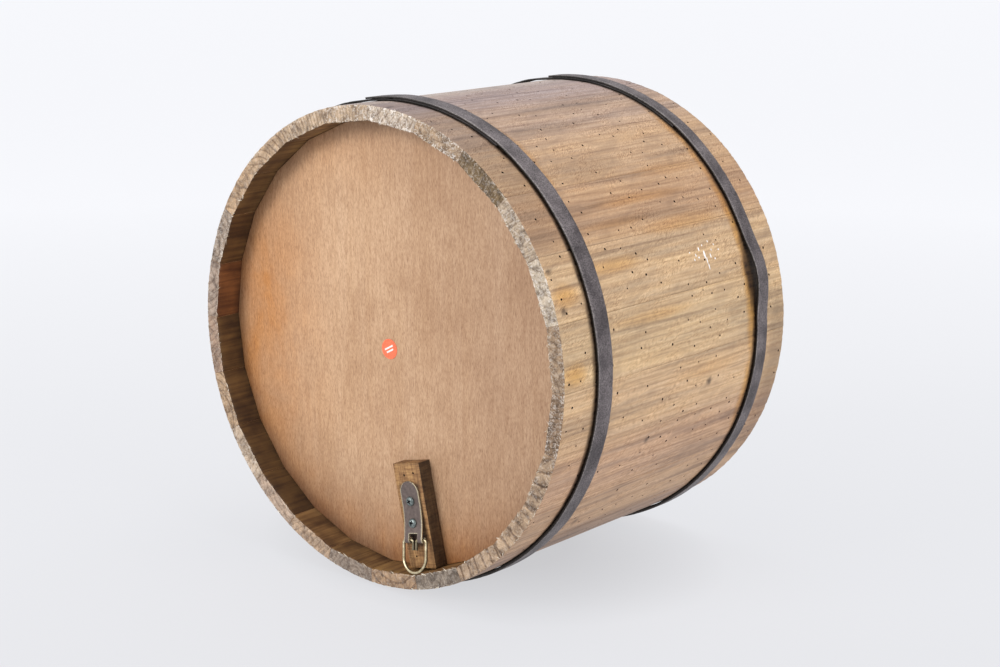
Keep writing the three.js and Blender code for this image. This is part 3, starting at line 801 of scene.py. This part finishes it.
# ---- Label ---------------------------------------------------------------------------------
# A round self-adhesive paper label in orange-red with two plain printed bars and no words.
label_radius = 0.007
label_thickness = 0.0002
label_at = Vector((-0.0012, panel_recess - 0.0001, -0.0021))
label_turn = math.radians(-28)
label_bars = [(0.0011, 0.0082), (-0.0013, 0.0066)]  # rise and length of each bar
bar_height = 0.0012
ink_thickness = 0.00008
bm = bmesh.new()
bmesh.ops.create_cone(bm, cap_ends=True, segments=48, radius1=label_radius, radius2=label_radius,
                      depth=label_thickness)
bmesh.ops.rotate(bm, verts=bm.verts, matrix=Matrix.Rotation(math.pi / 2, 3, "X"))
ease(bm, sharp_edges(bm), 0.00004, segments=1)
bmesh.ops.translate(bm, verts=bm.verts, vec=(0, -label_thickness / 2, 0))
paper_faces = set(bm.faces)
for rise, length in label_bars:
    bar = bmesh.ops.create_cube(bm, size=1)["verts"]
    bmesh.ops.scale(bm, verts=bar, vec=(length, ink_thickness, bar_height))
    bmesh.ops.translate(bm, verts=bar, vec=(0, -label_thickness - ink_thickness / 4, rise))
for face in bm.faces:
    face.material_index = 0 if face in paper_faces else 1
bmesh.ops.rotate(bm, verts=bm.verts, matrix=Matrix.Rotation(label_turn, 3, "Y"))
bmesh.ops.translate(bm, verts=bm.verts, vec=label_at)
# Smooth coated paper, its dye a little cloudy from the pulp, and the bare white of the bars.
label_paper = mottled("orange_label_paper", 0.0008, [(0.35, "#ff6a45"), (0.65, "#ff8157")], 0.5, detail=3)
label_ink = mottled("white_label_ink", 0.0008, [(0.35, "#f3e4dc"), (0.65, "#fff6f0")], 0.5, detail=3)
label = shown("round_paper_label", bm, label_paper, label_ink)
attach(label, "tub")
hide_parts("label")

# ---- Hanger block --------------------------------------------------------------------------
# A short batten of the same softwood, sawn on all sides and stained brown, bradded through
# into the panel at the top and the foot. Its own X runs across it, -Y out of its face.
block_rise = 0.0113  # of its face over the panel
block_size = Vector((0.0244, block_rise - 0.0003, 0.0733))
block_top = Vector((0.0225, panel_recess - block_rise, -0.0761))
block_turn = math.radians(-12.25)
brad_spots = [(-0.0034, 0.0086), (0.0058, 0.0067), (-0.00395, 0.0644)]  # across and down
brad_hole_depth = 0.0009
pattern_start = Vector((2, 3, 5))  # where in the grain the block was cut
plate_half = 0.0083
# How far the painted shadow beside the plate reaches.
plate_shadow_reach = 0.0024  # how far dirt spreads beside the plate
saw_fuzz = 0.00012
on_block = on_tub @ Matrix.Translation(block_top) @ Matrix.Rotation(block_turn, 4, "Y")


def batten(name, tones):
    """Rough-sawn pine under brown stain: fuzzy grain along it and saw marks across it."""
    material, tree, shader = new_material(name)
    board = add_node(tree, "Attribute", attribute_name="board").outputs["Vector"]
    grain = figure(tree, board, (0.0013, 0.0013, 0.016), detail=4, roughness=0.65, warp=0.6)
    saw_at = add_node(tree, "Mapping", {"Vector": board, "Rotation": (0, 0.5, 0),
                                        "Scale": (1 / 0.008, 1 / 0.008, 1 / 0.0012)})
    marks = add_node(tree, "TexNoise", {"Vector": saw_at.outputs[0], "Scale": 1, "Detail": 3}).outputs["Fac"]
    uneven = add_node(tree, "TexNoise", {"Vector": board, "Scale": 1 / 0.012, "Detail": 3}).outputs["Fac"]
    base = add_node(tree, "ValToRGB", {"Fac": uneven}, stops=[(0.35, tones[0]), (0.65, tones[1])])
    # This mark darkens the block with painted shadow in the notch behind the ring and beside the plate, and
    # darkens its top end.
    dirt_and_shade = add_node(tree, "Attribute", attribute_name="dirt_and_shade").outputs["Fac"]
    colour = add_node(tree, "Mix", {0: dirt_and_shade, 6: base.outputs[0], 7: linear("#4a3a2c")},
                      data_type="RGBA", blend_type="MULTIPLY").outputs[2]
    colour = tinted(tree, colour, [(grain, 0.6, [(0.36, "#8f7458"), (0.6, "#ffffff")]),
                                   (marks, 0.6, [(0.36, "#9c8168"), (0.6, "#ffffff")])])
    relief = add_node(tree, "Math", {0: grain, 1: marks}, operation="ADD").outputs[0]
    surface(tree, shader, colour, 0.7, (relief, 0.5, 0.0005))
    return material


bm = bmesh.new()
bmesh.ops.create_cube(bm, size=1)
bmesh.ops.scale(bm, verts=bm.verts, vec=block_size)
bmesh.ops.translate(bm, verts=bm.verts, vec=(0, block_size.y / 2, -block_size.z / 2))
ease(bm, bm.edges, 0.0004)
for axis, cuts in ((2, 54), (0, 18), (1, 8)):
    divide(bm, axis, cuts)
board = bm.verts.layers.float_vector.new("board")
dirt_and_shade = bm.verts.layers.float.new("dirt_and_shade")
for vert in bm.verts:
    vert[board] = vert.co + pattern_start
    x, z = vert.co.x, vert.co.z
    # Painted shadow in the notch behind the ring and along both sides of the plate; the top end is darkened
    # too.
    in_notch = 1 - smooth_step(math.hypot(x / 0.0075, (z + 0.0515) / 0.0065), 0.6, 1.3)
    beside = smooth_step(plate_shadow_reach - max(0.0, abs(x) - plate_half), 0.0, plate_shadow_reach)
    beside *= smooth_step(-z, 0.012, 0.016) * smooth_step(0.054 + z, 0.0, 0.002)
    vert[dirt_and_shade] = max(in_notch, 0.75 * beside, 0.35 * smooth_step(z, -0.0012, 0.0))
# The block's right side, turned away from the soft box on the left, takes a darker copy of the stained pine:
# painted shade.
for face in bm.faces:
    if face.normal.x > 0.6:
        face.material_index = 1
brads = [pattern_start + Vector((across, 0, -down)) for across, down in brad_spots]
bore(bm, brads, board, hole_radius, brad_hole_depth, 5, 2)
for vert in bm.verts:
    rough = noise.noise_vector(Vector((vert.co.x * 500, vert.co.y * 500, vert.co.z * 90))) * saw_fuzz
    vert.co += Vector((rough.x, max(0.0, rough.y), rough.z))
block = shown("sawn_hanger_block", bm, batten("brown_stained_pine", ("#a87e50", "#c0945f")),
              batten("painted_shade_pine_side", ("#54402a", "#6a5134")), bored_wood(), place=on_block)
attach(block, "tub")
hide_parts("hanger_block")

# ---- Hanger plate --------------------------------------------------------------------------
# A strap hanger stamped from steel strip, bronze plated: round at the top, two screw holes,
# the foot notched and its two tongues rolled under round the ring's wire.
plate_thickness = 0.0011
plate_top = 0.0122
bend_start = 0.028
hinge_down = 0.0526
hinge_out = 0.0033
knuckle_inner = 0.00125
plate_slope = math.radians(20)
knuckle_turn = math.radians(240)
notch_half = 0.0039
notch_top = 0.0485
contact_gap = 0.0003
round_share = 0.3  # of the plate's rows that go into its round top

plate_rest = plate_thickness / 2 + contact_gap / 2
knuckle_middle = knuckle_inner + plate_thickness / 2
roll_start = Vector((hinge_down - knuckle_middle * math.sin(plate_slope),
                     hinge_out + knuckle_middle * math.cos(plate_slope)))
bend_corner = Vector((roll_start.x - (roll_start.y - plate_rest) / math.tan(plate_slope), plate_rest))
course = [Vector((plate_top, plate_rest))]  # down the block and out from it
for step in range(13):
    t = step / 12
    course.append((1 - t) ** 2 * Vector((bend_start, plate_rest)) + 2 * t * (1 - t) * bend_corner
                  + t * t * roll_start)
for step in range(1, 25):
    angle = knuckle_turn * step / 24 - plate_slope
    course.append(Vector((hinge_down, hinge_out))
                  + Vector((math.sin(angle), math.cos(angle))) * knuckle_middle)
marks = [0.0]
for before, after in zip(course, course[1:]):
    marks.append(marks[-1] + (after - before).length)


def on_course(distance):
    """Where the plate's middle is, and which way is out of it, at a distance from its top."""
    leg = max(1, min(len(marks) - 1, sum(mark < distance for mark in marks)))
    run = course[leg] - course[leg - 1]
    spot = course[leg - 1] + run * (distance - marks[leg - 1]) / (marks[leg] - marks[leg - 1])
    return spot, Vector((-run.y, run.x)).normalized()


def plate_mesh():
    """A strip rounded at one end and notched at the other, thickened, eased and bent."""
    bm = bmesh.new()
    bmesh.ops.create_grid(bm, x_segments=16, y_segments=64, size=1)
    for vert in bm.verts:
        v = (1 - vert.co.y) / 2
        if v < round_share:
            down = plate_half * (1 - math.cos(v / round_share * math.pi / 2))
        else:
            down = plate_half + (marks[-1] - plate_half) * (v - round_share) / (1 - round_share)
        half = plate_half * math.sqrt(max(0.0, 1 - max(0.0, 1 - down / plate_half) ** 2))
        vert.co = (vert.co.x * half, down, 0)
    bmesh.ops.remove_doubles(bm, verts=bm.verts, dist=1e-6)
    notch_at = notch_top - plate_top
    for spot, normal in (((-notch_half, 0, 0), (1, 0, 0)), ((notch_half, 0, 0), (1, 0, 0)),
                         ((0, notch_at, 0), (0, 1, 0))):
        bmesh.ops.bisect_plane(bm, geom=bm.verts[:] + bm.edges[:] + bm.faces[:], dist=1e-6,
                               plane_co=spot, plane_no=normal)
    centres = {face: face.calc_center_median() for face in bm.faces}
    gone = [face for face, at in centres.items() if abs(at.x) < notch_half and at.y > notch_at]
    bmesh.ops.delete(bm, geom=gone, context="FACES")
    bmesh.ops.recalc_face_normals(bm, faces=bm.faces)
    thicken(bm, (0, 0, plate_thickness))
    bmesh.ops.translate(bm, verts=bm.verts, vec=(0, 0, -plate_thickness / 2))
    bmesh.ops.recalc_face_normals(bm, faces=bm.faces)
    edge = bm.verts.layers.float.new("worn")
    eased = ease(bm, sharp_edges(bm), 0.0002, segments=3)
    upright = [face for face in bm.faces if abs(face.normal.z) < 0.3]
    for face in eased["faces"] + upright:
        for vert in face.verts:
            vert[edge] = 1.0
    for vert in bm.verts:
        spot, outward = on_course(vert.co.y)
        place = spot + outward * vert.co.z
        vert.co = (vert.co.x, -place.y, -place.x)
    bmesh.ops.recalc_face_normals(bm, faces=bm.faces)
    return bm


def bronze_plating():
    """Antique bronze over steel: dull brown-grey face, rubbed through to yellow at its edges."""
    material, tree, shader = new_material("antique_bronze_plated_steel")
    at = add_node(tree, "TexCoord").outputs["Object"]
    worn = add_node(tree, "Attribute", attribute_name="worn").outputs["Fac"]
    tarnish = add_node(tree, "TexNoise", {"Vector": at, "Scale": 1 / 0.0028, "Detail": 4,
                                          "Roughness": 0.65}).outputs["Fac"]
    grit = add_node(tree, "TexNoise", {"Vector": at, "Scale": 1 / 0.0005, "Detail": 2}).outputs["Fac"]
    face = add_node(tree, "ValToRGB", {"Fac": tarnish}, stops=[(0.3, "#5f5450"), (0.7, "#7d6f69")])
    wear_and_highlight = add_node(tree, "MapRange", {"Value": grit, "From Min": 0.3, "From Max": 0.6, "To Min": 0.3})
    share = add_node(tree, "Math", {0: worn, 1: wear_and_highlight.outputs[0]}, operation="MULTIPLY").outputs[0]
    colour = add_node(tree, "Mix", {0: share, 6: face.outputs[0], 7: linear("#d9cdae")}, data_type="RGBA")
    shader.inputs["Metallic"].default_value = 0.75
    surface(tree, shader, colour.outputs[2], (tarnish, 0.55, 0.38), (grit, 0.25, 0.0001))
    return material


plate = shown("strap_hanger_plate", plate_mesh(), bronze_plating(), place=on_block)
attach(plate, "tub")
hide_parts("hanger_plate")

# ---- Screws --------------------------------------------------------------------------------
# Two pan-head screws, cold formed and zinc plated, with a cross recess punched in the head.
screw_spots = [(0.0261, 0.35), (0.04125, -0.25)]  # down the block, and how far it was turned
screw_profile = [(0, -9.5), (0.5, -9.1), (1.75, -7.5), (1.75, 0), (3.3, 0), (3.3, 0.45), (3.12, 0.95),
                 (2.6, 1.4), (1.8, 1.72), (0.9, 1.87), (0, 1.9)]  # millimetres: radius and height
recess_half = 0.0023
recess_width = 0.0013
recess_depth = 0.0012
head_top = 0.0019


def carve(piece, cutter):
    """Cuts one object out of another and throws the cutter away."""
    cut = piece.modifiers.new("punched_recess", "BOOLEAN")
    cut.object = cutter
    cut.solver = "EXACT"
    cut.material_mode = "TRANSFER"
    graph = bpy.context.evaluated_depsgraph_get()
    piece.data = bpy.data.meshes.new_from_object(piece.evaluated_get(graph))
    piece.modifiers.clear()
    bpy.data.objects.remove(cutter)


# Cold grey-green zinc, cloudy and half bright, and the cross recess near black: dirt where the driver has
# sat, and painted shade.
zinc = mottled("zinc_plated_steel", 0.0012, [(0.35, "#5f6866"), (0.65, "#8e9795")], (0.5, 0.28),
               metallic=0.8, detail=3)
recess_shade = mottled("dirt_and_shade_in_cross_recess", 0.0005, [(0.35, "#0c0c0d"), (0.7, "#222326")], 0.8)
for number, (down, twist) in enumerate(screw_spots, 1):
    spot, outward = on_course(down - plate_top)
    outward = Vector((0, -outward.y, -outward.x))
    seat = Vector((0, -spot.y, -spot.x)) + outward * (plate_thickness / 2 + contact_gap / 2)
    stand = (on_block @ Matrix.Translation(seat) @ outward.to_track_quat("Z", "Y").to_matrix().to_4x4()
             @ Matrix.Rotation(twist, 4, "Z"))
    bm = bmesh.new()
    spots = [bm.verts.new((radius / 1000, 0, height / 1000)) for radius, height in screw_profile]
    edges = [bm.edges.new(pair) for pair in zip(spots, spots[1:])]
    bmesh.ops.spin(bm, geom=spots + edges, axis=(0, 0, 1), cent=(0, 0, 0), angle=2 * math.pi, steps=32,
                   use_merge=True)
    bmesh.ops.remove_doubles(bm, verts=bm.verts, dist=1e-6)
    bmesh.ops.recalc_face_normals(bm, faces=bm.faces)
    screw = shown(f"pan_head_screw_{number}", bm, zinc, place=stand)
    for quarter in (0, 1):
        bm = bmesh.new()
        bmesh.ops.create_cube(bm, size=1)
        bmesh.ops.scale(bm, verts=bm.verts, vec=(2 * recess_half, recess_width, 2 * recess_depth))
        low = [vert for vert in bm.verts if vert.co.z < 0]
        bmesh.ops.scale(bm, verts=low, vec=(0.5, 0.8, 1))
        bmesh.ops.rotate(bm, verts=bm.verts, matrix=Matrix.Rotation(quarter * math.pi / 2, 3, "Z"))
        bmesh.ops.translate(bm, verts=bm.verts, vec=(0, 0, head_top))
        carve(screw, shown("recess_punch", bm, recess_shade, place=stand))
    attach(screw, "tub")
    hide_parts(f"hanger_screw_{number}")

# ---- Ring ----------------------------------------------------------------------------------
# One length of brass-plated wire bent to a D, its two ends turned down as prongs through the
# plate's notch; it swings in the two rolled tongues.
wire_radius = 0.00105
ring_half = 0.01045
ring_drop = 0.0222
ring_corner = 0.0019
prong_offset = 0.0015
prong_length = 0.007
ring_lean = math.radians(14)
side_foot = -(ring_drop - ring_half)
top_run = ring_half - ring_corner - prong_offset - ring_corner
quarter = math.pi / 2

bm = bmesh.new()
loop = bmesh.ops.create_circle(bm, segments=16, radius=wire_radius)["verts"]
bmesh.ops.translate(bm, verts=loop, vec=(-prong_offset, 0, -prong_length))
end = bm.edges[:]
heading = Vector((0, 0, 1))
for length, centre, turn, steps in (
    (prong_length - ring_corner, (-prong_offset - ring_corner, -ring_corner), quarter, 8),
    (top_run, (-ring_half + ring_corner, -ring_corner), quarter, 8),
    (-side_foot - ring_corner, (0, side_foot), 2 * quarter, 40),
    (-side_foot - ring_corner, (ring_half - ring_corner, -ring_corner), quarter, 8),
    (top_run, (prong_offset + ring_corner, -ring_corner), quarter, 8),
    (prong_length - ring_corner, None, 0, 0),
):
    run = bmesh.ops.extrude_edge_only(bm, edges=end)["geom"]
    moved = [v for v in run if isinstance(v, bmesh.types.BMVert)]
    bmesh.ops.translate(bm, verts=moved, vec=heading * length)
    end = [e for e in run if isinstance(e, bmesh.types.BMEdge)]
    if centre:
        bend = bmesh.ops.spin(bm, geom=end + moved, cent=(centre[0], 0, centre[1]), axis=(0, -1, 0),
                              angle=turn, steps=steps)
        end = [e for e in bend["geom_last"] if isinstance(e, bmesh.types.BMEdge)]
        heading = Matrix.Rotation(-turn, 3, "Y") @ heading
bmesh.ops.remove_doubles(bm, verts=bm.verts, dist=1e-6)
bmesh.ops.holes_fill(bm, edges=bm.edges, sides=0)
bmesh.ops.recalc_face_normals(bm, faces=bm.faces)
ease(bm, sharp_edges(bm), 0.0002)
# Painted highlight and shade: the front of the wire is marked pale, and its sides and the prongs dark, by
# which way each spot faces.
wear_and_highlight = bm.verts.layers.float.new("wear_and_highlight")
bm.normal_update()
for vert in bm.verts:
    near_middle = abs(vert.co.x) < prong_offset + 2 * wire_radius
    on_prong = near_middle and -1.2 * prong_length < vert.co.z < -ring_corner / 2
    vert[wear_and_highlight] = smooth_step(-vert.normal.y, 0.0, 0.85) * (0.3 if on_prong else 1.0)

# Thin brass over steel: pale yellow on the front of the wire as a painted highlight, brown-black at its
# sides and on the prongs as painted shade.
brass, tree, shader = new_material("antique_brass_plated_wire")
at = add_node(tree, "TexCoord").outputs["Object"]
tarnish = add_node(tree, "TexNoise", {"Vector": at, "Scale": 1 / 0.003, "Detail": 3,
                                      "Roughness": 0.6}).outputs["Fac"]
bright = add_node(tree, "ValToRGB", {"Fac": tarnish}, stops=[(0.36, "#a39473"), (0.62, "#dccfae")])
wear_and_highlight = add_node(tree, "Attribute", attribute_name="wear_and_highlight").outputs["Fac"]
tint = add_node(tree, "Mix", {0: wear_and_highlight, 6: linear("#4a4034"), 7: bright.outputs[0]}, data_type="RGBA")
shader.inputs["Metallic"].default_value = 0.9
surface(tree, shader, tint.outputs[2], (tarnish, 0.5, 0.25))
hinge = (on_block @ Matrix.Translation((0, -hinge_out, -hinge_down)) @ Matrix.Rotation(-ring_lean, 4, "X"))
ring = shown("wire_d_ring", bm, brass, place=hinge)
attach(ring, "ring")
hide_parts("d_ring")
